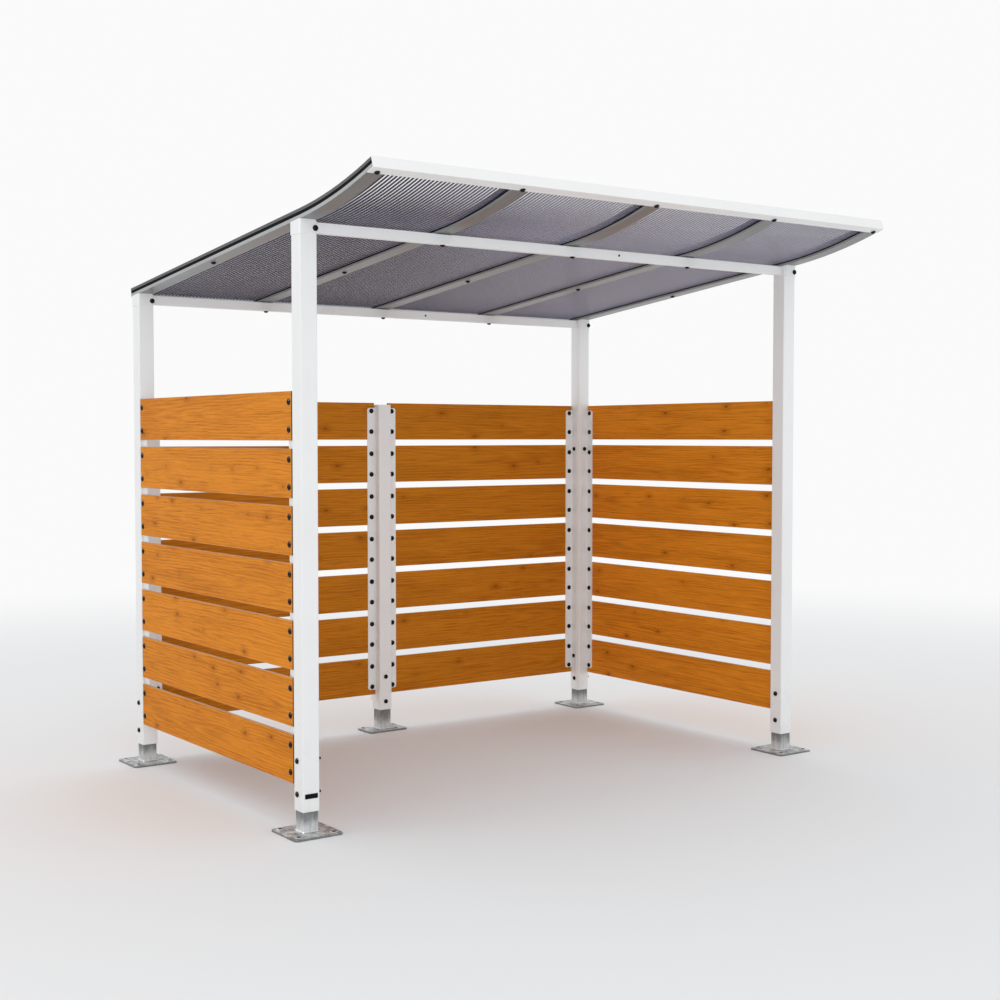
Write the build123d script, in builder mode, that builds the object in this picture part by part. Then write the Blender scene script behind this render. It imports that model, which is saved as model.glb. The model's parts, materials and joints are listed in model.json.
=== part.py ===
"""Open-fronted bike shelter: square posts on bolted feet, boarded on three sides, under a bent glazed roof.

X runs along the open front, Y from the front to the back and Z up. The origin lies on the ground, under the
middle of the whole shelter.
"""

import os
from math import atan2, cos, degrees, sin

from build123d import *

os.makedirs("parts", exist_ok=True)

# Plan of the corner posts, between their axes
post_spacing_x = 2500.0
post_spacing_y = 1500.0

# Square post tubes
post_side = 70.0
post_wall = 4.0
post_corner_radius = 5.0
post_fit_clearance = 0.3

# Heights of the roof's underside over the front and rear post axes
front_seat_height = 2252.0
rear_seat_height = 2098.0

# Feet: a base plate with a stub tube that stands up inside the post
plate_thickness = 8.0
plate_side = 200.0
plate_corner_radius = 14.0
plate_hole_spacing = 145.0
plate_hole_diameter = 14.0
stub_wall = 4.0
stub_corner_radius = 2.5
stub_length = 300.0
stub_bare_length = 78.0
weld_leg = 6.0
middle_plate_width = 216.0
middle_plate_depth = 136.0
middle_rear_hole_spacing = 172.0
middle_front_hole_spacing = 104.0
middle_hole_inset = 23.0
middle_stub_bare_length = 98.0

# Beams between the heads of the posts
beam_depth = 30.0
beam_height = 40.0
beam_wall = 2.5
beam_corner_radius = 3.0

# Collars over the heads of the corner posts
collar_wall = 3.0
collar_height = 50.0
collar_leg_setback = 7.0
collar_leg_radius = 9.0

# Bent roof: straight from the back to just past the front posts, then an upward curve
bend_lead = 35.0
bend_radius = 2350.0
bend_length = 525.0
rear_overhang = 49.0

# Glazing bars, their caps and the sheets between them
bar_width = 66.0
bar_height = 13.0
bar_wall = 2.5
screw_port_width = 12.0
sheet_thickness = 10.0
sheet_edge_gap = 10.0
cap_height = 14.0
edge_spacer_setback = 1.0
bar_count = 5

# Edge channels along the front and the back of the roof
channel_wall = 2.5
front_channel_lip = 40.0
rear_channel_upper_lip = 30.0
rear_channel_lower_lip = 8.0

# Walls of level boards
board_count = 7
board_height = 182.0
board_gap = 30.0
board_thickness = 12.0
board_ground_gap = 181.0
board_end_gap = 5.0
board_edge_chamfer = 1.2

# Middle post of the back wall, set back behind the line of the corner posts
middle_post_top_drop = 9.0
middle_post_setback = 21.0

# Angle brackets that carry the boards
bracket_thickness = 4.0
bracket_flange_width = 46.0
bracket_leg_width = 46.0
bracket_corner_radius = 12.0
bracket_end_inset = 25.0
middle_leg_overrun = 36.0

# Length by which a cutter passes what it cuts
cut_overrun = 20.0

# Worked out from the sizes above
half_post = post_side / 2
roof_slope = atan2(front_seat_height - rear_seat_height, post_spacing_y)
roof_fall_share = (front_seat_height - rear_seat_height) / post_spacing_y
bend_angle = bend_length / bend_radius
cap_seat = bar_height + sheet_thickness
roof_depth = cap_seat + cap_height
front_reach = (
    bend_lead
    + (bend_radius + channel_wall) * sin(roof_slope + bend_angle + channel_wall / bend_radius)
    - bend_radius * sin(roof_slope)
)
y_front = (front_reach - post_spacing_y - plate_side / 2) / 2
y_rear = y_front + post_spacing_y
x_left = -post_spacing_x / 2
x_right = post_spacing_x / 2
y_middle = y_rear + middle_post_setback
shelter_half_width = post_spacing_x / 2 + half_post
bar_span = 2 * shelter_half_width - bar_width
post_foot_height = plate_thickness + stub_bare_length
middle_foot_height = plate_thickness + middle_stub_bare_length
wall_height = board_count * board_height + (board_count - 1) * board_gap
wall_top = board_ground_gap + wall_height


def seat_height(y):
    """Height of the roof's underside at a place on its straight run."""
    return front_seat_height - roof_fall_share * (y - y_front)


def seat_plane(drop):
    """Plane of the roof's straight underside, lowered square to itself by drop."""
    origin = (0, y_front - drop * sin(roof_slope), front_seat_height - drop * cos(roof_slope))
    return Plane(origin=origin, x_dir=(1, 0, 0), z_dir=(0, sin(roof_slope), cos(roof_slope)))


# The bend starts ahead of the front posts, and its centre lies above the roof
bend_y = y_front - bend_lead
bend_z = seat_height(bend_y)
bend_center_y = bend_y + bend_radius * sin(roof_slope)
bend_center_z = bend_z + bend_radius * cos(roof_slope)
rear_station = -(post_spacing_y + bend_lead + rear_overhang) / cos(roof_slope)


def roof_point(station, level):
    """Point at a length along the roof's underside from the bend's start, level millimetres above it."""
    if station <= 0:
        y = bend_y - station * cos(roof_slope) + level * sin(roof_slope)
        z = bend_z + station * sin(roof_slope) + level * cos(roof_slope)
        return (y, z)
    angle = roof_slope + station / bend_radius
    radius = bend_radius - level
    return (bend_center_y - radius * sin(angle), bend_center_z - radius * cos(angle))


def roof_strip(x_start, low, high, start, end):
    """Face that follows the roof from one station to another, between two levels above its underside."""
    with BuildSketch(Plane.YZ.offset(x_start)) as strip:
        with BuildLine():
            for level in (low, high):
                if start < 0:
                    Line(roof_point(start, level), roof_point(min(end, 0), level))
                if end > 0:
                    first = max(start, 0)
                    middle = (first + end) / 2
                    ThreePointArc(roof_point(first, level), roof_point(middle, level), roof_point(end, level))
            Line(roof_point(start, low), roof_point(start, high))
            Line(roof_point(end, low), roof_point(end, high))
        make_face()
    return strip.sketch


def save(piece, name):
    """Label a finished piece and write it under its own name."""
    piece.label = name
    export_step(piece, f"parts/{name}.step")


def square_tube(x, y, bottom, top):
    """Upright post tube with rounded corners."""
    bore = post_side - 2 * post_wall
    with BuildPart() as tube:
        with BuildSketch(Plane.XY.offset(bottom)):
            with Locations((x, y)):
                RectangleRounded(post_side, post_side, post_corner_radius)
                Rectangle(bore, bore, mode=Mode.SUBTRACT)
        extrude(amount=top - bottom)
    return tube.part


def corner_post(x, y):
    """Corner post, cut to the roof's slope under its collar."""
    blank = square_tube(x, y, post_foot_height, seat_height(y) + cut_overrun)
    with BuildPart() as post:
        add(blank)
        split(bisect_by=seat_plane(collar_wall), keep=Keep.BOTTOM)
    return post.part


def middle_post():
    """Half-height post of the back wall, closed by a flush end plate."""
    top = wall_top - middle_post_top_drop
    with BuildPart() as post:
        add(square_tube(0, y_middle, middle_foot_height, top - post_wall))
        with BuildSketch(Plane.XY.offset(top - post_wall)):
            with Locations((0, y_middle)):
                RectangleRounded(post_side, post_side, post_corner_radius)
        extrude(amount=post_wall)
    return post.part


def foot(x, y, width, depth, holes):
    """Base plate with its bolt holes, and a stub tube welded on that fits inside the post."""
    stub_side = post_side - 2 * post_wall - 2 * post_fit_clearance
    bore = stub_side - 2 * stub_wall
    with BuildPart() as base:
        with BuildSketch():
            with Locations((x, y)):
                RectangleRounded(width, depth, plate_corner_radius)
            with Locations([(x + hole_x, y + hole_y) for hole_x, hole_y in holes]):
                Circle(plate_hole_diameter / 2, mode=Mode.SUBTRACT)
        extrude(amount=plate_thickness)
        with BuildSketch(Plane.XY.offset(plate_thickness)):
            with Locations((x, y)):
                RectangleRounded(stub_side, stub_side, stub_corner_radius)
                Rectangle(bore, bore, mode=Mode.SUBTRACT)
        extrude(amount=stub_length)
        level_faces = base.faces().filter_by(Plane.XY)
        plate_top = level_faces.filter_by_position(Axis.Z, plate_thickness, plate_thickness)
        stub_foot = max(plate_top.sort_by(SortBy.AREA)[-1].inner_wires(), key=lambda wire: wire.length)
        chamfer(stub_foot.edges(), length=weld_leg)
    return base.part


def collar(x, y, outward):
    """Stirrup round three sides of a post's head, with a sloped lid that the end bar seats on."""
    outer = post_side + 2 * collar_wall
    low = seat_height(y) - collar_height
    high = seat_height(y) + cut_overrun
    with BuildPart() as core:
        with BuildSketch(Plane.XY.offset(low - cut_overrun)):
            with Locations((x, y)):
                RectangleRounded(post_side, post_side, post_corner_radius)
        extrude(amount=high - low + 2 * cut_overrun)
        split(bisect_by=seat_plane(collar_wall), keep=Keep.BOTTOM)
    leg_end = x - outward * (half_post - collar_leg_setback)
    cut_size = post_side + 2 * cut_overrun
    with BuildPart() as head:
        with BuildSketch(Plane.XY.offset(low)):
            with Locations((x, y)):
                RectangleRounded(outer, outer, post_corner_radius + collar_wall)
        extrude(amount=high - low)
        split(bisect_by=seat_plane(0), keep=Keep.BOTTOM)
        add(core.part, mode=Mode.SUBTRACT)
        with BuildSketch(Plane.XY.offset(low - cut_overrun)):
            with Locations((leg_end - outward * cut_size / 2, y)):
                Rectangle(cut_size, cut_size)
        extrude(amount=high - low + 2 * cut_overrun, mode=Mode.SUBTRACT)
        leg_corners = head.edges().filter_by(Axis.Y).group_by(Axis.Z)[0]
        fillet(leg_corners.filter_by(lambda edge: edge.length < 2 * collar_wall), collar_leg_radius)
    return head.part


def beam(y):
    """Level tube between the heads of two posts, under the bars."""
    top = seat_height(y + beam_depth / 2)
    clear_length = post_spacing_x - post_side
    with BuildPart() as rail:
        with BuildSketch(Plane.YZ.offset(-clear_length / 2)):
            with Locations((y, top - beam_height / 2)):
                RectangleRounded(beam_depth, beam_height, beam_corner_radius)
                Rectangle(beam_depth - 2 * beam_wall, beam_height - 2 * beam_wall, mode=Mode.SUBTRACT)
        extrude(amount=clear_length)
    return rail.part


def glazing_bar(x):
    """Bent bar with upturned lips that carry the sheets and a screw port along its middle."""
    left = x - bar_width / 2
    port_left = x - screw_port_width / 2 - bar_wall
    walls = (left, left + bar_width - bar_wall, port_left, port_left + screw_port_width + bar_wall)
    with BuildPart() as bar:
        extrude(roof_strip(left, 0, bar_wall, rear_station, bend_length), amount=bar_width)
        for wall in walls:
            extrude(roof_strip(wall, 0, bar_height, rear_station, bend_length), amount=bar_wall)
    return bar.part


def bar_cap(x):
    """Bent cap over a glazing bar, with lips that press on the sheets."""
    left = x - bar_width / 2
    with BuildPart() as cap:
        skin = roof_strip(left, roof_depth - bar_wall, roof_depth, rear_station, bend_length)
        extrude(skin, amount=bar_width)
        for lip in (left, left + bar_width - bar_wall):
            extrude(roof_strip(lip, cap_seat, roof_depth, rear_station, bend_length), amount=bar_wall)
    return cap.part


def roof_sheet(x_start, x_end):
    """Bent sheet between two neighbouring bars."""
    with BuildPart() as sheet:
        extrude(roof_strip(x_start, bar_height, cap_seat, rear_station, bend_length), amount=x_end - x_start)
    return sheet.part


def edge_spacers():
    """Strips that fill the outer half of the two end bars, as thick as a sheet."""
    width = bar_width / 2 - sheet_edge_gap - edge_spacer_setback
    left = -shelter_half_width + edge_spacer_setback
    with BuildPart() as spacers:
        for x_start in (left, -left - width):
            extrude(roof_strip(x_start, bar_height, cap_seat, rear_station, bend_length), amount=width)
    return spacers.part


def front_channel():
    """Channel square to the roof's front end, gripping bars, sheets and caps."""
    lip_start = bend_length - front_channel_lip
    web_end = bend_length + channel_wall
    width = 2 * shelter_half_width
    with BuildPart() as channel:
        web = roof_strip(-shelter_half_width, -channel_wall, roof_depth + channel_wall, bend_length, web_end)
        extrude(web, amount=width)
        for low in (-channel_wall, roof_depth):
            lip = roof_strip(-shelter_half_width, low, low + channel_wall, lip_start, bend_length)
            extrude(lip, amount=width)
    return channel.part


def rear_channel():
    """Channel along the roof's back edge, with a short lower lip that clears the post heads."""
    web_end = rear_station - channel_wall
    width = 2 * shelter_half_width
    with BuildPart() as channel:
        web = roof_strip(-shelter_half_width, -channel_wall, roof_depth + channel_wall, web_end, rear_station)
        extrude(web, amount=width)
        for low, lip in ((-channel_wall, rear_channel_lower_lip), (roof_depth, rear_channel_upper_lip)):
            strip = roof_strip(-shelter_half_width, low, low + channel_wall, rear_station, rear_station + lip)
            extrude(strip, amount=width)
    return channel.part


def board_wall(plane, start, end):
    """Stack of level boards in one wall, each apart from the next."""
    first = board_ground_gap + board_height / 2
    pitch = board_height + board_gap
    places = [((start + end) / 2, first + row * pitch) for row in range(board_count)]
    with BuildPart() as boards:
        with BuildSketch(plane):
            with Locations(*places):
                Rectangle(end - start - 2 * board_end_gap, board_height)
        extrude(amount=board_thickness)
        chamfer(boards.edges(), length=board_edge_chamfer)
    return boards.part


def wall_bracket(x, y, run, inward, leg_outward=False):
    """Angle on a post: a flange that runs out behind the boards and a leg, turned in or out, on the face."""
    up = Vector(0, 0, 1)
    run = Vector(*run)
    inward = Vector(*inward)
    leg_way = -inward if leg_outward else inward
    corner = Vector(x, y, 0) + run * half_post - inward * (half_post - board_thickness)
    leg_corner = corner + inward * bracket_thickness if leg_outward else corner
    flange_plane = Plane(origin=corner, x_dir=run, z_dir=run.cross(up))
    leg_plane = Plane(origin=leg_corner, x_dir=leg_way, z_dir=leg_way.cross(up))
    flange_low = board_ground_gap + bracket_end_inset
    flange_high = wall_top - bracket_end_inset
    leg_low = board_ground_gap - middle_leg_overrun if leg_outward else board_ground_gap
    leg_high = wall_top - bracket_end_inset
    with BuildPart() as bracket:
        with BuildSketch(flange_plane):
            with Locations((bracket_flange_width / 2, (flange_low + flange_high) / 2)):
                Rectangle(bracket_flange_width, flange_high - flange_low)
        extrude(amount=bracket_thickness * inward.dot(run.cross(up)))
        free_corners = bracket.edges().filter_by(Axis((0, 0, 0), inward)).group_by(Axis((0, 0, 0), run))[-1]
        fillet(free_corners, bracket_corner_radius)
        with BuildSketch(leg_plane):
            with Locations((bracket_leg_width / 2, (leg_low + leg_high) / 2)):
                Rectangle(bracket_leg_width, leg_high - leg_low)
        extrude(amount=bracket_thickness * run.dot(leg_way.cross(up)))
    return bracket.part


corners = {
    "front_left": (x_left, y_front, -1),
    "front_right": (x_right, y_front, 1),
    "rear_left": (x_left, y_rear, -1),
    "rear_right": (x_right, y_rear, 1),
}

# Posts, feet and collars of the four corners
half_hole = plate_hole_spacing / 2
corner_holes = [(hole_x, hole_y) for hole_x in (-half_hole, half_hole) for hole_y in (-half_hole, half_hole)]
for corner_name, (corner_x, corner_y, corner_side) in corners.items():
    save(corner_post(corner_x, corner_y), f"{corner_name}_post")
    save(foot(corner_x, corner_y, plate_side, plate_side, corner_holes), f"{corner_name}_foot")
    save(collar(corner_x, corner_y, corner_side), f"{corner_name}_collar")

# Middle post of the back wall and its narrower foot
hole_row = middle_plate_depth / 2 - middle_hole_inset
rear_holes = [(side * middle_rear_hole_spacing / 2, hole_row) for side in (-1, 1)]
front_holes = [(side * middle_front_hole_spacing / 2, -hole_row) for side in (-1, 1)]
save(middle_post(), "middle_post")
save(foot(0, y_middle, middle_plate_width, middle_plate_depth, rear_holes + front_holes), "middle_foot")

# Beams
save(beam(y_front), "front_beam")
save(beam(y_rear), "rear_beam")

# Bars and caps, evenly spread but for the end ones, which lie flush with the posts' outer sides
bar_pitch = 2 * shelter_half_width / (bar_count - 1)
inner_bars = [-shelter_half_width + bar_pitch * index for index in range(1, bar_count - 1)]
bar_lines = [-bar_span / 2, *inner_bars, bar_span / 2]
for number, line in enumerate(bar_lines, 1):
    save(glazing_bar(line), f"glazing_bar_{number}")
    save(bar_cap(line), f"bar_cap_{number}")

# Sheets, with a gap over each bar for its screws
for number, (line, following) in enumerate(zip(bar_lines, bar_lines[1:]), 1):
    save(roof_sheet(line + sheet_edge_gap, following - sheet_edge_gap), f"roof_sheet_{number}")
save(edge_spacers(), "roof_edge_spacers")
save(front_channel(), "front_channel")
save(rear_channel(), "rear_channel")

# Boards, flush with the posts' outer faces
left_plane = Plane.YZ.offset(-shelter_half_width)
right_plane = Plane.YZ.offset(shelter_half_width - board_thickness)
back_plane = Plane.XZ.offset(-y_rear - half_post)
save(board_wall(left_plane, y_front + half_post, y_rear - half_post), "left_wall_boards")
save(board_wall(right_plane, y_front + half_post, y_rear - half_post), "right_wall_boards")
save(board_wall(back_plane, x_left + half_post, -half_post), "back_wall_left_boards")
save(board_wall(back_plane, half_post, x_right - half_post), "back_wall_right_boards")

# Brackets: one on each front post, two on each post at the back, with legs turned out on the middle post
back, front, left, right = (0, 1, 0), (0, -1, 0), (-1, 0, 0), (1, 0, 0)
save(wall_bracket(x_left, y_front, back, right), "left_wall_front_bracket")
save(wall_bracket(x_left, y_rear, front, right), "left_wall_rear_bracket")
save(wall_bracket(x_right, y_front, back, left), "right_wall_front_bracket")
save(wall_bracket(x_right, y_rear, front, left), "right_wall_rear_bracket")
save(wall_bracket(x_left, y_rear, right, front), "back_wall_left_end_bracket")
save(wall_bracket(0, y_rear, left, front, leg_outward=True), "back_wall_left_middle_bracket")
save(wall_bracket(0, y_rear, right, front, leg_outward=True), "back_wall_right_middle_bracket")
save(wall_bracket(x_right, y_rear, left, front), "back_wall_right_end_bracket")
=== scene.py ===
"""Looks of a bike shelter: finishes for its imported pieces, hollow roof sheets, seals and fasteners.

Laid out as an add-on and run as a script. Sizes are in metres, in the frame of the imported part: X runs along
the open front, Y from the front to the back wall and Z up from the ground.
"""

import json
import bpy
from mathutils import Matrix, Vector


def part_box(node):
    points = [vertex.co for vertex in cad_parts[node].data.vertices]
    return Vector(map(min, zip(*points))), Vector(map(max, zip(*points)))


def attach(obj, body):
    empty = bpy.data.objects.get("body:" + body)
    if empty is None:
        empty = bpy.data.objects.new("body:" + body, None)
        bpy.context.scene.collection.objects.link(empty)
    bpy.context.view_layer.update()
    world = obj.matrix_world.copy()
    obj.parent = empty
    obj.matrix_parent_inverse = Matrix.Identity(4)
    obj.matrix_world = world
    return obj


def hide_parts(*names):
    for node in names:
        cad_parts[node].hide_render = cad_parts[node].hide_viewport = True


bl_info = {
    "name": "Bike Shelter Looks",
    "version": (1, 0, 0),
    "blender": (4, 5, 0),
    "location": "View3D > Sidebar > Shelter",
    "description": "Finishes, roof sheets, fasteners and stage of a bike shelter",
    "category": "Object",
}

from math import atan2, cos, pi, radians, sin

import bpy
from bpy.props import FloatProperty, FloatVectorProperty, IntProperty, PointerProperty
from bpy.types import Operator, Panel, PropertyGroup
from mathutils import Matrix, Vector

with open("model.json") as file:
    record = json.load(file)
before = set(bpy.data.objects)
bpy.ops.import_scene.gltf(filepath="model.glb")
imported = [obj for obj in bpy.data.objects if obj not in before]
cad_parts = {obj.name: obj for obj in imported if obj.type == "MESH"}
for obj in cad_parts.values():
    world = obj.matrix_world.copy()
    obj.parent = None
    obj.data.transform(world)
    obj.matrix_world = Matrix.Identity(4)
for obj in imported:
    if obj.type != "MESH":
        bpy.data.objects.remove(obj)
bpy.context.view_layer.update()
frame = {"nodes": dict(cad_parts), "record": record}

MILLIMETRES = 1000
LEFT = Vector((-1, 0, 0))
RIGHT = Vector((1, 0, 0))
AHEAD = Vector((0, -1, 0))
BEHIND = Vector((0, 1, 0))
UP = Vector((0, 0, 1))
CORNERS = ("front_left", "front_right", "rear_left", "rear_right")
BAYS = (1, 2, 3, 4)
BARS = (1, 2, 3, 4, 5)

# Width of the camera's frame, in millimetres, and the angle past which an edge of a piece is sharp
SENSOR_WIDTH = 36.0
CREASE = radians(35.0)

# Steps around the turned forms, the bored rings, the floor and a corner of the bare plate
ROUND_STEPS = 24
RING_STEPS = 36
FLOOR_STEPS = 64
CORNER_STEPS = 4

# Lengths over which a finish changes: at the painted gap shadow, half-way up a web and where the bend starts
GAP_SHADOW_EDGE = 0.0005
WEB_EDGE = 0.0012
BEND_EDGE = 0.001

# Each bracket: the post it is bolted to, the wall it carries, the way its flange runs and the way inside
BRACKETS = {
    "left_wall_front_bracket": ("front_left_post", "left_wall_boards", BEHIND, RIGHT),
    "left_wall_rear_bracket": ("rear_left_post", "left_wall_boards", AHEAD, RIGHT),
    "right_wall_front_bracket": ("front_right_post", "right_wall_boards", BEHIND, LEFT),
    "right_wall_rear_bracket": ("rear_right_post", "right_wall_boards", AHEAD, LEFT),
    "back_wall_left_end_bracket": ("rear_left_post", "back_wall_left_boards", RIGHT, AHEAD),
    "back_wall_left_middle_bracket": ("middle_post", "back_wall_left_boards", LEFT, AHEAD),
    "back_wall_right_middle_bracket": ("middle_post", "back_wall_right_boards", RIGHT, AHEAD),
    "back_wall_right_end_bracket": ("rear_right_post", "back_wall_right_boards", LEFT, AHEAD),
}

# Each wall of boards: the axis that its grain follows, a tone that darkens or lightens its boards as painted
# shade, the same boards shaded more on the back wall, and a number that sets its figure
BOARD_WALLS = {
    "left_wall_boards": ("Y", 0.92, 3.1),
    "right_wall_boards": ("Y", 0.98, 17.7),
    "back_wall_left_boards": ("X", 0.71, 29.3),
    "back_wall_right_boards": ("X", 0.71, 41.9),
}


def kind(maker, **options):
    """Maker of one kind of property, each from its name, description and default."""

    def make(name, description, default):
        return maker(name=name, description=description, default=default, **options)

    return make


length = kind(FloatProperty, subtype="DISTANCE", unit="LENGTH", precision=4)
sizes = kind(FloatVectorProperty, size=2, unit="LENGTH", precision=4)
position = kind(FloatVectorProperty, subtype="TRANSLATION", unit="LENGTH")
colour = kind(FloatVectorProperty, subtype="COLOR", size=3, min=0, max=1)
bearing = kind(FloatProperty, subtype="ANGLE")
power = kind(FloatProperty, subtype="POWER", unit="POWER", min=0)
strength = kind(FloatProperty, min=0)
focal_length = kind(FloatProperty, subtype="DISTANCE_CAMERA")
amount = kind(IntProperty, min=1)


class ShelterColours(PropertyGroup):
    """Colours of the shelter's finishes."""

    coat: colour("Powder coat", "White of the posts, beams, brackets and channels", (0.87, 0.88, 0.885))
    dust: colour("Dust", "Dust that gathers on the coat near the ground", (0.60, 0.58, 0.55))
    zinc: colour("Zinc", "Grey of the galvanised feet", (0.175, 0.18, 0.181))
    # Paler zinc of the plates, and of the stubs' lower ends, where it is partly painted light against painted
    # shade higher up
    zinc_pale_and_lit: colour("Pale zinc", "Zinc where it ran thick on plates and welds", (0.80, 0.81, 0.82))
    bar: colour("Bars", "Mill finish of the roof bars", (0.222, 0.232, 0.234))
    cap: colour("Caps", "Dull finish of the caps over the bars", (0.084, 0.084, 0.087))
    board_light: colour("Board, light", "Light grain of the boards", (0.86, 0.300, 0.020))
    board_dark: colour("Board, dark", "Dark grain of the boards", (0.50, 0.145, 0.006))
    board_knot: colour("Board, knots", "Knots in the boards' figure", (0.24, 0.062, 0.006))
    # Painted highlight: the paler colour of the boards' top and bottom edge faces
    board_edge_highlight: colour("Board, edges", "Pale core at the boards' long edges", (0.56, 0.42, 0.30))
    # Partly the boards' dark core, partly painted shade in the gaps at their cut ends
    board_end_core_and_shade: colour("Board, ends", "Dark core at the boards' cut ends", (0.11, 0.040, 0.012))
    # Painted sheen: the paler colour that the skins are given at a slant
    skin_sheen: colour("Smoke", "Sheen of the roof sheets' skins at a slant", (0.34, 0.32, 0.46))
    web: colour("Webs", "Tint of the roof sheets' webs, and of their skins face-on", (0.19, 0.18, 0.235))
    # Painted highlight: light lines along the webs' feet on the skins, shown at a slant
    web_foot_highlight: colour("Web feet", "Tint of the lines along the webs on the sheets' skins", (0.66, 0.65, 0.78))
    black: colour("Black", "Bolt heads, seals and the small plate", (0.007, 0.007, 0.008))
    black_worn: colour("Worn black", "Faint marks on the black pieces", (0.026, 0.025, 0.024))


class ShelterRoof(PropertyGroup):
    """Line of the bent roof, and the cells of its sheets."""

    front_seat: length("Front seat", "Height of the bars' underside over the front posts' axes", 2.252)
    rear_seat: length("Rear seat", "Height of the bars' underside over the rear posts' axes", 2.098)
    bend_lead: length("Bend lead", "Distance ahead of the front posts' axes at which the bend starts", 0.035)
    bend_radius: length("Bend radius", "Radius of the bars' underside past the bend's start", 2.35)
    bend_length: length("Bend length", "Length of the bend along the bars' underside", 0.525)
    rear_overhang: length("Rear overhang", "Reach of the bars behind the rear posts' axes", 0.049)
    bar_height: length("Bar height", "Height of a bar under the sheets", 0.013)
    sheet_thickness: length("Sheet thickness", "Thickness of a hollow sheet", 0.010)
    cap_height: length("Cap height", "Height of a cap over the sheets", 0.014)
    channel_wall: length("Channel wall", "Wall of the channels along the roof's edges", 0.0025)
    channel_lip: length("Channel lip", "Reach of the front channel's lips over the sheets", 0.040)
    skin_thickness: length("Skin thickness", "Thickness of a hollow sheet's skins", 0.0010)
    cell_pitch: length("Cell pitch", "Distance from one web of a sheet to the next", 0.017)
    seal_width: length("Seal width", "Reach of a bar's seal past the bar's edge", 0.0035)
    seal_height: length("Seal height", "Height of a bar's seal under the sheet", 0.0040)
    # Painted shadow: how far the dark band of the gap between bar and cap reaches up the cap's flank
    gap_shadow_reach: length("Seam reach", "Reach of the dark seam up a cap's flank", 0.0030)
    front_bolt_inset: length("Front bolt inset", "Distance of the channel's bolts from the front end", 0.030)
    middle_bolt_y: length("Middle bolt", "Place of the bolts through the bars' straight run", 0.237)
    bend_steps: amount("Bend steps", "Faces along the bend", 24)


class ShelterBoards(PropertyGroup):
    """Rows of boards in a wall, and the brackets that carry them."""

    rows: amount("Rows", "Boards in a wall, one above the other", 7)
    gap: length("Gap", "Gap between one board and the next", 0.030)
    bracket_thickness: length("Bracket thickness", "Thickness of the angles that carry the boards", 0.004)
    flange_line: length("Flange line", "Distance of the board bolts from the post's face", 0.024)
    edge_line: length("Edge line", "Distance of a board bolt from the board's long edge", 0.040)
    leg_bolt_level: length("Leg bolt level", "Height of the bolt that holds a bracket on its post", 1.4015)


class ShelterFasteners(PropertyGroup):
    """Sizes and places of the bolts, plugs and rings."""

    head: sizes("Head", "Radius and height of a board bolt's domed head", (0.0120, 0.0058))
    small_head: sizes("Small head", "Radius and height of the bolt heads on legs and stubs", (0.0110, 0.0075))
    clamp_levels: sizes("Clamp levels", "Levels of the two bolts through a post and its stub", (0.147, 0.271))
    clamp_setback: length("Clamp setback", "Distance of the clamp bolts behind the left posts' axes", 0.008)
    thread_radius: length("Thread radius", "Radius of the clamp bolts' threaded ends", 0.0050)
    thread_reach: length("Thread reach", "Reach of the clamp bolts' threaded ends past the posts", 0.027)
    thread_pitch: length("Thread pitch", "Pitch of the clamp bolts' threads", 0.0020)
    nut_radius: length("Nut radius", "Radius of the clamp bolts' nuts across their corners", 0.0098)
    nut_height: length("Nut height", "Height of the clamp bolts' nuts", 0.0085)
    collar_drop: length("Collar bolt drop", "Depth of a collar's bolt under the collar's top", 0.031)
    collar_edge: length("Collar bolt edge", "Distance of a collar's bolt from the post's right face", 0.008)
    roof_head: sizes("Roof head", "Radius and height of the bolt heads under the roof", (0.0105, 0.0080))
    roof_nut: sizes("Roof nut", "Radius and height of the domed nuts on the caps", (0.0060, 0.0075))
    plug: sizes("Plug", "Radius and height of the plugs in the posts' spare holes", (0.0070, 0.0014))
    plug_levels: sizes("Plug levels", "Levels of the posts' two plugs", (0.418, 1.418))
    drain_x: length("Drain place", "Place of the beams' drain holes along the front", 0.240)
    drain_radius: length("Drain radius", "Radius of the grommets in the beams' drain holes", 0.0050)
    ring_radius: length("Ring radius", "Outer radius of the rings on the base plates", 0.0175)
    ring_bore: length("Ring bore", "Radius of the rings' holes", 0.0085)
    ring_height: length("Ring height", "Height of the rings on the base plates", 0.0035)
    # Painted shade: the bushes are dark pieces that make the plates' holes look dark
    hole_shade_bore: length("Bush bore", "Radius of the hole in the bushes of the plates' holes", 0.0035)
    plate_width: length("Plate width", "Width of the bare plate on the front left post", 0.053)
    plate_height: length("Plate height", "Height of the bare plate on the front left post", 0.018)
    plate_level: length("Plate level", "Height of the bare plate's middle above the ground", 0.144)
    plate_corner: length("Plate corner", "Radius of the bare plate's corners", 0.0022)
    plate_depth: length("Plate depth", "Thickness of the bare plate", 0.0014)


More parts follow.
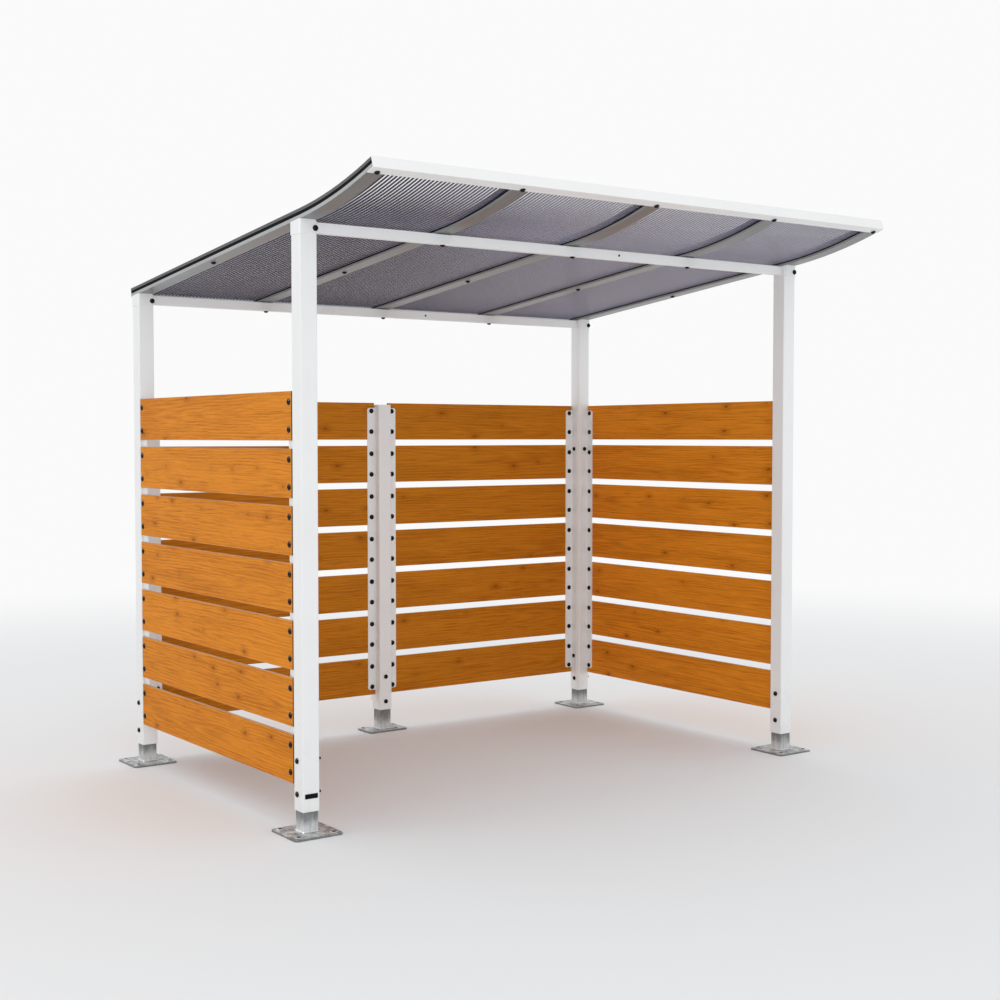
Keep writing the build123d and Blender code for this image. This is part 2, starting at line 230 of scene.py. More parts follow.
class ShelterStage(PropertyGroup):
    """Camera, lamps and floor."""

    eye: position("Eye", "Place of the camera", (-3.881, -5.397, 1.466))
    heading: bearing("Heading", "Turn of the camera from +Y towards +X", radians(35.79))
    dip: bearing("Dip", "Tilt of the camera below level", radians(2.41))
    lens: focal_length("Lens", "Focal length on a frame 36 mm wide", 53.87)
    backdrop: colour("Backdrop", "Colour around and behind the shelter", (0.96, 0.96, 0.96))
    floor: colour("Floor", "Colour of the floor under the shelter", (0.80, 0.815, 0.83))
    fade_start: length("Fade start", "Distance at which the floor starts to fade into the backdrop", 3.5)
    fade_end: length("Fade end", "Distance at which the floor has faded into the backdrop", 9.0)
    floor_radius: length("Floor radius", "Radius of the floor", 60.0)
    ambient: strength("Ambient", "Strength of the even light from all round", 0.92)
    front_lamp: position("Front lamp", "Place of the wide lamp at the front left", (-4.8, -7.6, 3.0))
    front_aim: position("Front aim", "Point that the front lamp faces", (0.3, 0.4, 1.2))
    front_size: length("Front size", "Side of the front lamp", 5.0)
    front_power: power("Front power", "Power of the front lamp", 66.0)
    side_lamp: position("Side lamp", "Place of the lamp high on the left", (-5.8, 1.0, 5.2))
    side_aim: position("Side aim", "Point that the side lamp faces", (-1.2, 0.2, 1.0))
    side_size: length("Side size", "Side of the side lamp", 3.0)
    side_power: power("Side power", "Power of the side lamp", 800.0)
    top_lamp: position("Top lamp", "Place of the lamp above the roof", (1.5, 1.0, 7.5))
    top_aim: position("Top aim", "Point that the top lamp faces", (0.0, 0.0, 1.5))
    top_size: length("Top size", "Side of the top lamp", 6.0)
    top_power: power("Top power", "Power of the top lamp", 45.0)


class Signal:
    """Output of a shader node: each operator on it adds the Math node that it stands for."""

    def __init__(self, wiring, socket):
        self.wiring = wiring
        self.socket = socket

    def maths(self, operation, *terms):
        """Math node of these terms."""
        return self.wiring.pick("ShaderNodeMath", {"operation": operation}, dict(enumerate(terms)))

    def __add__(self, other):
        return self.maths("ADD", self, other)

    def __radd__(self, other):
        return self.maths("ADD", other, self)

    def __sub__(self, other):
        return self.maths("SUBTRACT", self, other)

    def __rsub__(self, other):
        return self.maths("SUBTRACT", other, self)

    def __mul__(self, other):
        return self.maths("MULTIPLY", self, other)

    def __rmul__(self, other):
        return self.maths("MULTIPLY", other, self)

    def __truediv__(self, other):
        return self.maths("DIVIDE", self, other)

    def __rtruediv__(self, other):
        return self.maths("DIVIDE", other, self)

    def __pow__(self, other):
        return self.maths("POWER", self, other)

    def __rpow__(self, other):
        return self.maths("POWER", other, self)

    def __abs__(self):
        return self.maths("ABSOLUTE", self)

    def whole(self):
        """Whole number below the value."""
        return self.maths("FLOOR", self)

    def larger(self, other):
        """Larger of two values."""
        return self.maths("MAXIMUM", self, other)

    def wave(self):
        """Sine of the value in turns, from 0 to 1."""
        return self.maths("SINE", self * (2 * pi)) * 0.5 + 0.5

    def ease(self, start, end):
        """Smooth step from 0 at start to 1 at end, where start may be the larger."""
        low, high = sorted((start, end))
        settings = {"interpolation_type": "SMOOTHSTEP"}
        limits = {1: low, 2: high, 3: 0.0, 4: 1.0}
        step = self.wiring.pick("ShaderNodeMapRange", settings, {0: self, **limits})
        return step if start < end else 1 - step


class Wiring:
    """Node tree of a material or a world."""

    def __init__(self, tree):
        self.tree = tree

    def node(self, kind, settings, sockets):
        """New node: its settings first, then the values or links of its sockets."""
        made = self.tree.nodes.new(kind)
        for name, value in settings.items():
            setattr(made, name, value)
        self.feed(made, sockets)
        return made

    def feed(self, node, sockets):
        """Set or link sockets of a node by name or number."""
        for name, value in sockets.items():
            if isinstance(value, Signal):
                self.tree.links.new(value.socket, node.inputs[name])
            else:
                node.inputs[name].default_value = value

    def pick(self, kind, settings, sockets, output=0):
        """One output of a new node."""
        return Signal(self, self.node(kind, settings, sockets).outputs[output])

    def rgba(self, value):
        """Colour with full cover, or the link that brings one."""
        return value if isinstance(value, Signal) else (*value, 1.0)


class Finish(Wiring):
    """A material and the nodes of its shader."""

    def __init__(self, name):
        self.material = bpy.data.materials.new(name)
        self.material.use_nodes = True
        super().__init__(self.material.node_tree)
        self.shader = next(node for node in self.tree.nodes if node.type == "BSDF_PRINCIPLED")

    def place(self):
        """Place on the shelter, in metres."""
        return self.pick("ShaderNodeTexCoord", {}, {}, "Object")

    def facing(self, axis):
        """How far the surface faces along an axis, either way."""
        return abs(self.part(self.pick("ShaderNodeNewGeometry", {}, {}, "Normal"), axis))

    def slant(self):
        """Slant of the surface to the line of sight: 0 face-on, 1 edge-on."""
        return self.pick("ShaderNodeLayerWeight", {}, {"Blend": 0.5}, "Facing")

    def part(self, vector, axis):
        """One axis of a vector."""
        return self.pick("ShaderNodeSeparateXYZ", {}, {0: vector}, axis)

    def gather(self, x, y, z):
        """Vector of three values."""
        return self.pick("ShaderNodeCombineXYZ", {}, {0: x, 1: y, 2: z})

    def stretch(self, vector, factors):
        """Vector with each axis scaled by itself."""
        return self.pick("ShaderNodeVectorMath", {"operation": "MULTIPLY"}, {0: vector, 1: factors})

    def span(self, vector):
        """Length of a vector."""
        return self.pick("ShaderNodeVectorMath", {"operation": "LENGTH"}, {0: vector}, "Value")

    def noise(self, vector, scale, detail=3.0, roughness=0.5):
        """Soft noise from about 0 to 1."""
        sockets = {"Vector": vector, "Scale": scale, "Detail": detail, "Roughness": roughness}
        return self.pick("ShaderNodeTexNoise", {}, sockets)

    def cells(self, vector, scale, dimensions="3D"):
        """Distance to the nearest of scattered points, and a random value for each point's cell."""
        settings = {"voronoi_dimensions": dimensions}
        made = self.node("ShaderNodeTexVoronoi", settings, {"Vector": vector, "Scale": scale})
        return Signal(self, made.outputs["Distance"]), self.part(Signal(self, made.outputs["Color"]), "X")

    def chance(self, seed):
        """Random vector for each whole seed."""
        return self.pick("ShaderNodeTexWhiteNoise", {"noise_dimensions": "1D"}, {"W": seed}, "Color")

    def blend(self, factor, first, second):
        """Colour between two others."""
        sockets = {0: factor, 6: self.rgba(first), 7: self.rgba(second)}
        return self.pick("ShaderNodeMix", {"data_type": "RGBA"}, sockets, 2)

    def bump(self, height, distance, strength):
        """Normal raised by a height from 0 to 1 over a distance."""
        return self.pick("ShaderNodeBump", {}, {"Strength": strength, "Distance": distance, "Height": height})

    def surface(self, **sockets):
        """Values and links of the shader, with underscores for the spaces in its sockets' names."""
        self.feed(self.shader, {name.replace("_", " "): value for name, value in sockets.items()})
        return self.material


def powder_coat(colours):
    """White powder coat: a fine orange peel, soft mottling and a little dust low down."""
    finish = Finish("powder_coat")
    place = finish.place()
    peel = finish.noise(place, 620.0, 2.0)
    mottle = finish.noise(place, 4.0, 4.0)
    height = finish.part(place, "Z")
    dust = height.ease(0.50, 0.08) * finish.noise(place, 26.0, 6.0, 0.65).ease(0.42, 0.80)
    white = finish.blend(mottle.ease(0.30, 0.70) * 0.06, colours.coat, colours.dust)
    return finish.surface(
        Base_Color=finish.blend(dust * 0.20, white, colours.dust),
        Roughness=0.30 + mottle * 0.10 + dust * 0.25,
        Normal=finish.bump(peel, 0.00025, 0.35),
    )


def galvanised_steel(colours):
    """Hot-dip zinc: runs down the stubs and clouded, spangled plates; the stubs are paler low down, partly the
    welds' zinc and partly painted shade that darkens them higher up under the posts.
    """
    finish = Finish("hot_dip_zinc")
    place = finish.place()
    near, spangle = finish.cells(place, 150.0)
    runs = finish.noise(finish.stretch(place, (95.0, 95.0, 9.0)), 1.0, 4.0, 0.55)
    cloud = finish.noise(place, 30.0, 5.0, 0.62)
    height = finish.part(place, "Z")
    level = finish.facing("Z").ease(0.80, 0.95)
    # Painted shade: the stubs are darker higher up, under the post's edge, and paler near the weld, partly the
    # zinc's own colour
    foot = height.ease(0.090, 0.014) * height.ease(0.007, 0.012)
    upright = foot * 0.60 + (runs - 0.5) * 0.55 + (cloud - 0.5) * 0.70 + 0.10
    flat = (cloud - 0.5) * 2.0 + (spangle - 0.5) * 0.30 + 0.40
    pale_and_lit = (upright + level * (flat - upright)).ease(0.0, 1.0)
    return finish.surface(
        Base_Color=finish.blend(pale_and_lit, colours.zinc, colours.zinc_pale_and_lit),
        Metallic=0.20,
        Roughness=0.30 + spangle * 0.14 + cloud * 0.16,
        Normal=finish.bump(runs * 0.4 + near * 0.3 + cloud * 0.5, 0.0010, 0.40),
    )


def mill_aluminium(name, tone, gloss, colours, roof):
    """Extruded aluminium: die lines and dull patches, with painted light that brightens the flanks and a
    painted shadow in the gap between bar and cap.
    """
    finish = Finish(name)
    place = finish.place()
    level = RoofLine(roof).level(finish)
    # Painted shadow: a black band from the bar's top up the cap's lower flank, where the gap between them is
    # in shade
    gap_shadow_top = roof.bar_height + roof.sheet_thickness + roof.gap_shadow_reach
    gap_shadow_foot = level.ease(roof.bar_height, roof.bar_height + GAP_SHADOW_EDGE)
    painted_gap_shadow = gap_shadow_foot * level.ease(gap_shadow_top, gap_shadow_top - GAP_SHADOW_EDGE)
    lines = finish.noise(finish.stretch(place, (520.0, 1.2, 1.2)), 1.0, 3.0, 0.65)
    patches = finish.noise(finish.stretch(place, (18.0, 3.0, 6.0)), 1.0, 4.0, 0.55)
    # Painted light: faces that look along X are made brighter, as if lit from the side
    flank = finish.facing("X").ease(0.70, 0.95)
    shade = (lines * 0.6 + patches * 0.4).ease(0.25, 0.75) * 0.45 + flank * 0.55
    metal = finish.blend(shade, 0.60 * Vector(tone), 1.75 * Vector(tone))
    return finish.surface(
        Base_Color=finish.blend(painted_gap_shadow, metal, colours.black),
        Metallic=0.10,
        Specular_IOR_Level=gloss,
        Roughness=0.30 + patches * 0.10 + painted_gap_shadow * 0.30,
        Normal=finish.bump(lines, 0.0002, 0.15),
    )


def wood_decor(colours, boards, wall, grain, tone, seed):
    """Orange-brown wood decor: nested figure, streaks, pores and small knots, with a painted highlight on the
    long edges and a dark core with painted shade on the cut ends.
    """
    finish = Finish(f"wood_decor_{wall}")
    place = finish.place()
    along = finish.part(place, grain)
    bottom, rise = board_rise(wall, boards)
    half_board = (1 - boards.gap / rise) / 2
    level = (finish.part(place, "Z") - bottom) / rise
    row = level.whole()
    luck = finish.chance(row + seed)
    luck_a = finish.part(luck, "X")
    luck_b = finish.part(luck, "Y")
    luck_c = finish.part(luck, "Z")
    across = (level - row - half_board) * rise
    run = along + luck_a * 9.0
    lift = across + luck_b * 2.0
    drift = finish.noise(finish.gather(run * 2.4, lift * 7.0, luck_c * 5.0), 1.0, 3.0)
    near, cell = finish.cells(finish.gather(run * 4.6, lift * 9.0, 0.0), 1.0, "2D")
    knotty = cell.ease(0.40, 0.90)
    knot = near.ease(0.085, 0.020) * knotty
    halo = near.ease(0.28, 0.04) * knotty
    bent = lift + drift * 0.034 + halo * 0.008
    heart = across - (luck_c - 0.5) * 0.09
    sweep = (along - (luck_b - 0.5) * 0.9) * 0.045
    figure = ((heart * heart + sweep * sweep) ** 0.5 * 80.0 + drift * 2.2).wave()
    streak = finish.noise(finish.gather(run * 2.4, bent * 170.0, seed), 1.0, 4.0, 0.60)
    dash = finish.noise(finish.gather(run * 9.0, bent * 460.0, seed + 5.0), 1.0, 3.0, 0.60)
    pores = finish.noise(finish.gather(run * 30.0, bent * 1300.0, seed), 1.0, 2.0, 0.55)
    cloud = finish.noise(finish.gather(run * 1.6, lift * 11.0, seed), 1.0, 3.0)
    grained = figure * 0.14 + streak.ease(0.30, 0.70) * 0.30 + dash.ease(0.42, 0.72) * 0.34
    shade = grained + cloud.ease(0.25, 0.75) * 0.20 + pores.ease(0.45, 0.75) * 0.14 + luck_a * 0.06
    # Painted shade: each wall's tone darkens or lightens the same boards, as if that wall were lit less or
    # more
    light = tone * Vector(colours.board_light)
    dark = tone * Vector(colours.board_dark)
    wood = finish.blend(shade.ease(0.16, 0.92), light, dark)
    wood = finish.blend(halo * 0.60, wood, dark)
    wood = finish.blend(knot * 0.75, wood, colours.board_knot)
    # Painted highlight on the long edge faces; dark core and painted shade on the cut ends
    edge = finish.facing("Z").ease(0.45, 0.80)
    end = finish.facing(grain).ease(0.45, 0.80)
    cut = finish.blend(end, colours.board_edge_highlight, colours.board_end_core_and_shade)
    return finish.surface(
        Base_Color=finish.blend(edge.larger(end) * 0.9, wood, cut),
        Roughness=0.42 + streak * 0.10 + pores * 0.08 + edge * 0.20,
        Specular_IOR_Level=0.06,
        Normal=finish.bump(streak * 0.5 + pores * 0.5, 0.0003, 0.35),
    )


def smoked_skin(colours, name, start, pitch):
    """Skin of a hollow sheet: a tint face-on, with a painted sheen that makes it paler at a slant, and painted
    highlights along the webs' feet at a slant.
    """
    finish = Finish(name)
    place = finish.place()
    cell = (finish.part(place, "X") - start) / pitch
    slant = finish.slant()
    # Painted sheen: the skins turn from the face-on tint to a paler colour at a slant
    sheen = slant.ease(0.20, 0.55)
    tint = finish.blend(sheen, colours.web, colours.skin_sheen)
    # Painted highlight: light lines on the skin where the webs meet it, only at a slant
    foot = abs(cell - cell.whole() - 0.5).ease(0.33, 0.41) * slant.ease(0.60, 0.78)
    lines = finish.noise(finish.stretch(place, (240.0, 2.0, 2.0)), 1.0, 3.0)
    return finish.surface(
        Base_Color=finish.blend(foot, tint, colours.web_foot_highlight),
        Roughness=0.16 + lines * 0.10,
        Specular_IOR_Level=0.15,
        Alpha=0.31 - sheen * 0.26 + slant.ease(0.45, 0.95) * 0.12 + lines * 0.04 + foot * 0.44,
        Normal=finish.bump(lines, 0.0002, 0.15),
    )


def smoked_web(colours, roof):
    """Web of a hollow sheet: smoked and seen edgeways, darkened to near black at a slant by painted shade, and
    clearer in its upper half.
    """
    finish = Finish("smoked_web")
    slant = finish.slant()
    half_way = roof.bar_height + roof.sheet_thickness / 2
    lower = RoofLine(roof).level(finish).ease(half_way + WEB_EDGE, half_way - WEB_EDGE)
    clear = 1 - slant.ease(0.30, 0.48)
    haze = finish.noise(finish.stretch(finish.place(), (240.0, 4.0, 60.0)), 1.0, 3.0)
    return finish.surface(
        # Painted shade: the web's colour goes to near black at a slant
        Base_Color=finish.blend(slant.ease(0.37, 0.52) * 0.9 + haze * 0.1, colours.web, colours.black),
        Roughness=0.28 + haze * 0.12,
        Specular_IOR_Level=0.01,
        Alpha=0.98 - clear * (0.50 - lower * 0.44) + haze * 0.02,
    )


def black_gloss(colours):
    """Black coating of the bolts: glossy, with faint marks."""
    finish = Finish("black_fastener")
    marks = finish.noise(finish.place(), 420.0, 4.0, 0.6)
    return finish.surface(
        Base_Color=finish.blend(marks.ease(0.55, 0.85), colours.black, colours.black_worn),
        Roughness=0.20 + marks * 0.08,
        Specular_IOR_Level=0.16,
        Normal=finish.bump(marks, 0.0002, 0.15),
    )


def black_rubber(colours):
    """Rubber of the seals, and of the bushes that are painted shade: matt black with a fine bloom."""
    finish = Finish("seal_rubber")
    bloom = finish.noise(finish.place(), 160.0, 5.0, 0.6)
    return finish.surface(
        Base_Color=finish.blend(bloom.ease(0.40, 0.80), colours.black, colours.black_worn),
        Roughness=0.58 + bloom * 0.20,
        Specular_IOR_Level=0.02,
        Normal=finish.bump(bloom, 0.0003, 0.3),
    )


def paint_nodes(names, material):
    """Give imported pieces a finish."""
    for name in names:
        frame["nodes"][name].material_slots[0].material = material


def middle(node):
    """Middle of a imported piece's box."""
    low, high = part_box(node)
    return (Vector(low) + Vector(high)) / 2


def reach(node, way):
    """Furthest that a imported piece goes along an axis, in the way given."""
    return max(Vector(corner).dot(way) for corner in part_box(node))


def board_rise(wall, boards):
    """Height of a wall's bottom edge, and the rise from one of its boards to the next."""
    low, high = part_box(wall)
    return low.z, (high.z - low.z + boards.gap) / boards.rows


def board_levels(wall, boards):
    """Heights of the bottom and the top of each board in a wall."""
    bottom, rise = board_rise(wall, boards)
    bottoms = [bottom + row * rise for row in range(boards.rows)]
    return [(low, low + rise - boards.gap) for low in bottoms]


def sleeve(first, second, count):
    """Faces between two rings of points, from the number of each ring's first point."""
    turns = [(step, (step + 1) % count) for step in range(count)]
    return [(first + here, first + after, second + after, second + here) for here, after in turns]


def lofted(rings):
    """Closed form through rings of points, all of one length."""
    count = len(rings[0])
    points = [point for ring in rings for point in ring]
    last = len(points) - count
    faces = [face for first in range(0, last, count) for face in sleeve(first, first + count, count)]
    return points, faces + [tuple(reversed(range(count))), tuple(range(last, last + count))]


def turned(rings, steps=ROUND_STEPS):
    """Form turned about Z through rings of (radius, height, corners), where 0 corners is round."""
    loops = []
    for radius, height, corners in rings:
        loop = []
        for step in range(steps):
            angle = 2 * pi * step / steps
            spoke = radius
            if corners:
                half = pi / corners
                spoke = radius * cos(half) / cos(angle % (2 * half) - half)
            loop.append(Vector((spoke * cos(angle), spoke * sin(angle), height)))
        loops.append(loop)
    return lofted(loops)


def domed_head(radius, height):
    """Bolt head: a short rim, a round dome and a hexagon socket in its top."""
    rim = height * 0.2
    rings = [(radius * 0.97, 0.0, 0), (radius, height * 0.07, 0)]
    for step in range(7):
        climb = radians(11.0) * step
        rings.append((radius * cos(climb), rim + (height - rim) * sin(climb), 0))
    rings += [(radius * 0.34, height * 0.94, 6), (radius * 0.32, height * 0.45, 6)]
    rings.append((radius * 0.05, height * 0.40, 6))
    return turned(rings)


def nut_and_end(fasteners):
    """Washer, hexagon nut and threaded end of a clamp bolt."""
    nut = fasteners.nut_radius
    top = fasteners.nut_height
    washer = top * 0.15
    thread = fasteners.thread_radius
    rings = [(nut * 1.12, 0.0, 0), (nut * 1.12, washer, 0), (nut, washer, 6), (nut, top * 0.9, 6)]
    rings += [(nut * 0.86, top, 0), (thread, top, 0)]
    turns = int((fasteners.thread_reach - top) / fasteners.thread_pitch)
    for step in range(turns):
        level = top + step * fasteners.thread_pitch
        rings.append((thread * 0.85, level + fasteners.thread_pitch / 2, 0))
        rings.append((thread, level + fasteners.thread_pitch, 0))
    rings.append((thread * 0.72, fasteners.thread_reach, 0))
    return turned(rings)


def capped_nut(radius, height):
    """Small hexagon nut with a domed end."""
    rings = [(radius, 0.0, 6), (radius, height * 0.45, 6)]
    for step in range(5):
        climb = radians(20.0) * step
        rings.append((radius * 0.80 * cos(climb), height * (0.50 + 0.50 * sin(climb)), 0))
    return turned(rings)


def low_plug(radius, height):
    """Push-in plug: a thin lip and a shallow dish."""
    shares = ((0.98, 0.0), (1.0, 0.45), (0.88, 1.0), (0.64, 0.92), (0.52, 0.55), (0.10, 0.50))
    return turned([(radius * wide, height * tall, 0) for wide, tall in shares])


def bored(outline):
    """Ring turned about Z from (radius, height) points, from the outer foot round to the bore's foot."""
    points, faces = turned([(radius, height, 0) for radius, height in outline], RING_STEPS)
    return points, faces[:-2] + sleeve(len(points) - RING_STEPS, 0, RING_STEPS)


def plate_ring(radius, bore, height):
    """Raised ring with a bevelled top."""
    outer = [(radius, 0.0), (radius, height * 0.55), (radius * 0.94, height)]
    return bored(outer + [(bore * 1.12, height), (bore, height * 0.80), (bore, 0.0)])


def hole_shade_bush(radius, bore, depth, flange, height):
    """Bush that goes down into a plate's hole, with a flange on the plate: painted shade for the hole."""
    outer = [(radius, -depth), (radius, 0.0), (flange, 0.0), (flange, height * 0.8), (flange * 0.92, height)]
    return bored(outer + [(bore * 1.2, height), (bore, height * 0.8), (bore, -depth)])


def seat(point, outward):
    """Place of a form whose base lies at a point and whose top faces outward."""
    turn = UP.rotation_difference(outward).to_matrix().to_4x4()
    return Matrix.Translation(point) @ turn


def make_piece(name, points, faces, material, slot):
    """Mesh object that rides on the shelter, smooth but for its creases."""
    mesh = bpy.data.meshes.new(name)
    mesh.from_pydata(points, [], faces)
    mesh.validate()
    mesh.polygons.foreach_set("use_smooth", [True] * len(mesh.polygons))
    mesh.set_sharp_from_angle(angle=CREASE)
    mesh.materials.append(material)
    piece = bpy.data.objects.new(name, mesh)
    bpy.context.scene.collection.objects.link(piece)
    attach(piece, "root")
    return piece


def gathered(forms):
    """Points and faces of several forms as one."""
    points = []
    faces = []
    for form_points, form_faces in forms:
        first = len(points)
        points += form_points
        faces += [tuple(first + corner for corner in face) for face in form_faces]
    return points, faces


def make_copies(name, form, places, material, slot):
    """One piece made of a form copied to several places."""
    copies = [([place @ point for point in form[0]], form[1]) for place in places]
    make_piece(name, *gathered(copies), material, slot)


class RoofLine:
    """Straight run and bend that bars, sheets and caps follow."""

    def __init__(self, roof):
        front = middle("front_left_post").y
        rear = middle("rear_left_post").y
        rise = roof.front_seat - roof.rear_seat
        self.radius = roof.bend_radius
        self.slope = atan2(rise, rear - front)
        self.start_y = front - roof.bend_lead
        self.start_z = roof.front_seat + roof.bend_lead * rise / (rear - front)
        self.rear = self.station(rear + roof.rear_overhang)
        self.front = roof.bend_length
        self.steps = roof.bend_steps

    def station(self, y):
        """Length along the roof, from the bend's start, of a place on the straight run."""
        return (self.start_y - y) / cos(self.slope)

    def tilt(self, station):
        """Slope of the roof at a station."""
        return self.slope + max(station, 0.0) / self.radius

    def point(self, x, station, level):
        """Point over a station, level metres above the bars' underside."""
        if station <= 0:
            y = self.start_y - station * cos(self.slope) + level * sin(self.slope)
            z = self.start_z + station * sin(self.slope) + level * cos(self.slope)
            return Vector((x, y, z))
        angle = self.tilt(station)
        radius = self.radius - level
        y = self.start_y + self.radius * sin(self.slope) - radius * sin(angle)
        z = self.start_z + self.radius * cos(self.slope) - radius * cos(angle)
        return Vector((x, y, z))

    def upward(self, station):
        """Direction square to the roof at a station."""
        angle = self.tilt(station)
        return Vector((0, sin(angle), cos(angle)))

    def level(self, finish):
        """Height of a surface's points above the bars' underside, square to the roof, for a finish."""
        place = finish.place()
        y = finish.part(place, "Y") - self.start_y
        z = finish.part(place, "Z") - self.start_z
        ahead = z * sin(self.slope) - y * cos(self.slope)
        straight = z * cos(self.slope) + y * sin(self.slope)
        bent = self.radius - (ahead * ahead + (self.radius - straight) ** 2) ** 0.5
        return straight + ahead.ease(0.0, BEND_EDGE) * (bent - straight)

    def stations(self, end):
        """Stations from the back to an end on the bend, close together along the bend."""
        bend = [end * step / self.steps for step in range(1, self.steps + 1)]
        return [self.rear, self.rear / 2, 0.0, *bend]

    def strip(self, x_start, x_end, low, high, end):
        """Closed bar that follows the roof between two levels, from the back to an end on the bend."""
        corners = ((x_start, low), (x_end, low), (x_end, high), (x_start, high))
        stations = self.stations(end)
        return lofted([[self.point(x, station, level) for x, level in corners] for station in stations])

    def web(self, x, low, high, end):
        """Thin upright wall that follows the roof between two levels."""
        stations = self.stations(end)
        points = [self.point(x, station, level) for station in stations for level in (low, high)]
        faces = [(2 * step, 2 * step + 1, 2 * step + 3, 2 * step + 2) for step in range(len(stations) - 1)]
        return points, faces


class SHELTER_OT_coat_steelwork(Operator):
    """Coat the posts, collars, beams, brackets and channels white"""

    bl_idname = "shelter.coat_steelwork"
    bl_label = "Coat Steelwork"

    def execute(self, context):
        names = [f"{corner}_{piece}" for corner in CORNERS for piece in ("post", "collar")]
        names += ["middle_post", "front_beam", "rear_beam", "front_channel", "rear_channel", *BRACKETS]
        paint_nodes(names, powder_coat(context.scene.shelter_colours))
        return {"FINISHED"}


class SHELTER_OT_galvanise_feet(Operator):
    """Galvanise the feet, and add the raised rings and, as painted shade, black bushes in their holes"""

    bl_idname = "shelter.galvanise_feet"
    bl_label = "Galvanise Feet"

    def execute(self, context):
        fasteners = context.scene.shelter_fasteners
        colours = context.scene.shelter_colours
        zinc = galvanised_steel(colours)
        paint_nodes([f"{place}_foot" for place in (*CORNERS, "middle")], zinc)
        patterns = [mount for mount in frame["record"]["mounts"] if mount["kind"] == "bolt_pattern"]
        hole_radius = patterns[0]["dims"]["hole_r_mm"] / MILLIMETRES
        plate_top = patterns[0]["pos_m"][2]
        places = []
        for pattern in patterns:
            x, y, z = pattern["pos_m"]
            half_x = pattern["dims"]["spacing_x_mm"] / MILLIMETRES / 2
            half_y = pattern["dims"].get("spacing_y_mm", 0.0) / MILLIMETRES / 2
            spots = {(x + side * half_x, y + end * half_y) for side in (-1, 1) for end in (-1, 1)}
            places += [Matrix.Translation((*spot, z)) for spot in sorted(spots)]
        ring = plate_ring(fasteners.ring_radius, fasteners.ring_bore, fasteners.ring_height)
        make_copies("foot_plate_rings", ring, places, zinc, "galvanised")
        flange = (fasteners.ring_bore, fasteners.ring_height * 0.9)
        # Painted shade: black bushes put in the plates' holes, where there would only be shade
        hole_shade = hole_shade_bush(hole_radius, fasteners.hole_shade_bore, plate_top / 2, *flange)
        make_copies("foot_plate_bushes", hole_shade, places, black_rubber(colours), "black_rubber")
        return {"FINISHED"}


class SHELTER_OT_finish_roof_bars(Operator):
    """Give the roof's bars and caps a mill finish, and add the seals along the bars"""

    bl_idname = "shelter.finish_roof_bars"
    bl_label = "Finish Roof Bars"

    def execute(self, context):
        roof = context.scene.shelter_roof
        colours = context.scene.shelter_colours
        bright = mill_aluminium("bright_aluminium", colours.bar, 0.7, colours, roof)
        dull = mill_aluminium("dull_aluminium", colours.cap, 0.04, colours, roof)
        paint_nodes([f"glazing_bar_{bar}" for bar in BARS], bright)
        paint_nodes([f"bar_cap_{bar}" for bar in BARS], dull)
        rubber = bpy.data.materials["seal_rubber"]
        paint_nodes(["roof_edge_spacers"], rubber)
        line = RoofLine(roof)
        front = line.front - roof.channel_lip
        seals = []
        for bar in BARS:
            low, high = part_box(f"glazing_bar_{bar}")
            sides = []
            if bar != BARS[0]:
                sides.append((low.x - roof.seal_width, low.x))
            if bar != BARS[-1]:
                sides.append((high.x, high.x + roof.seal_width))
            for x_start, x_end in sides:
                bottom = roof.bar_height - roof.seal_height
                seals.append(line.strip(x_start, x_end, bottom, roof.bar_height, front))
        make_piece("bar_seals", *gathered(seals), rubber, "black_rubber")
        return {"FINISHED"}


class SHELTER_OT_make_roof_sheets(Operator):
    """Make the smoked roof sheets, with webs between their skins, in place of the solid ones"""

    bl_idname = "shelter.make_roof_sheets"
    bl_label = "Make Roof Sheets"

    def execute(self, context):
        roof = context.scene.shelter_roof
        line = RoofLine(roof)
        colours = context.scene.shelter_colours
        web = smoked_web(colours, roof)
        bottom = roof.bar_height
        top = roof.bar_height + roof.sheet_thickness
        for bay in BAYS:
            low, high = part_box(f"roof_sheet_{bay}")
            cells = round((high.x - low.x) / roof.cell_pitch)
            pitch = (high.x - low.x) / cells
            skin = smoked_skin(colours, f"smoked_skin_{bay}", low.x, pitch)
            shell = line.strip(low.x, high.x, bottom, top, line.front)
            sheet = make_piece(f"hollow_sheet_{bay}", *shell, skin, "smoked_sheet")
            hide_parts(f"roof_sheet_{bay}")
            walls = []
            for cell in range(1, cells):
                x = low.x + cell * pitch
                walls.append(line.web(x, bottom + roof.skin_thickness, top - roof.skin_thickness, line.front))
            make_piece(f"sheet_webs_{bay}", *gathered(walls), web, "smoked_sheet")
        return {"FINISHED"}


class SHELTER_OT_grain_boards(Operator):
    """Give the boards their wood decor, each wall and board with its own figure"""

    bl_idname = "shelter.grain_boards"
    bl_label = "Grain Boards"

    def execute(self, context):
        colours = context.scene.shelter_colours
        boards = context.scene.shelter_boards
        for wall, (grain, tone, seed) in BOARD_WALLS.items():
            paint_nodes([wall], wood_decor(colours, boards, wall, grain, tone, seed))
        return {"FINISHED"}


